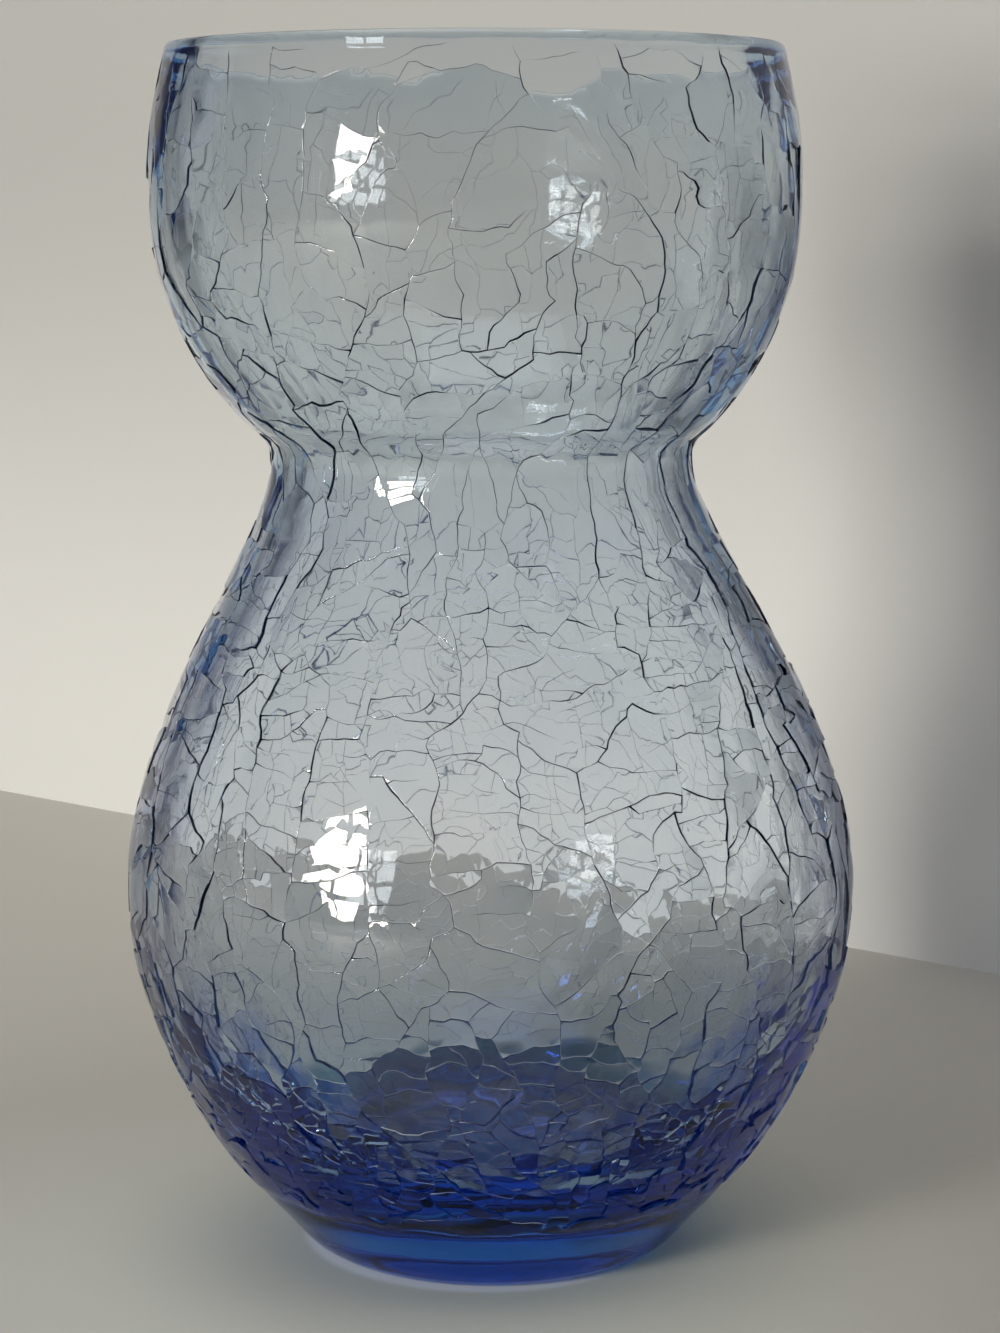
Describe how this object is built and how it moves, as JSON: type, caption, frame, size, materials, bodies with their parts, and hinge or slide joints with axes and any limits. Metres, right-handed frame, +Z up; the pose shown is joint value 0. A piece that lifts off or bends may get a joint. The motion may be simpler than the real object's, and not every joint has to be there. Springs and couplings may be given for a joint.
{
  "type": "bulb forcing vase",
  "caption": "Blown crackle-glass vase with a wide cup that holds a flower bulb above a narrow waist, and a round belly for the water and roots.",
  "frame": {"origin": "centre of the ring that the vase stands on, at the level of the table", "axes": "+Z up along the belly's axis, -Y towards the viewer of the picture, +X to that viewer's right"},
  "size_m": [0.1226, 0.1226, 0.2],
  "materials": {
    "crackle_glass": "mouth-blown pale blue glass, fire-polished, with a net of fine cracks in its outer skin"
  },
  "bodies": {
    "root": {"base": "crackle_glass", "heel": "crackle_glass", "belly": "crackle_glass", "shoulder": "crackle_glass", "collar": "crackle_glass", "waist": "crackle_glass", "cup_bowl": "crackle_glass", "cup_wall": "crackle_glass", "lip": "crackle_glass"}
  },
  "joints": []
}
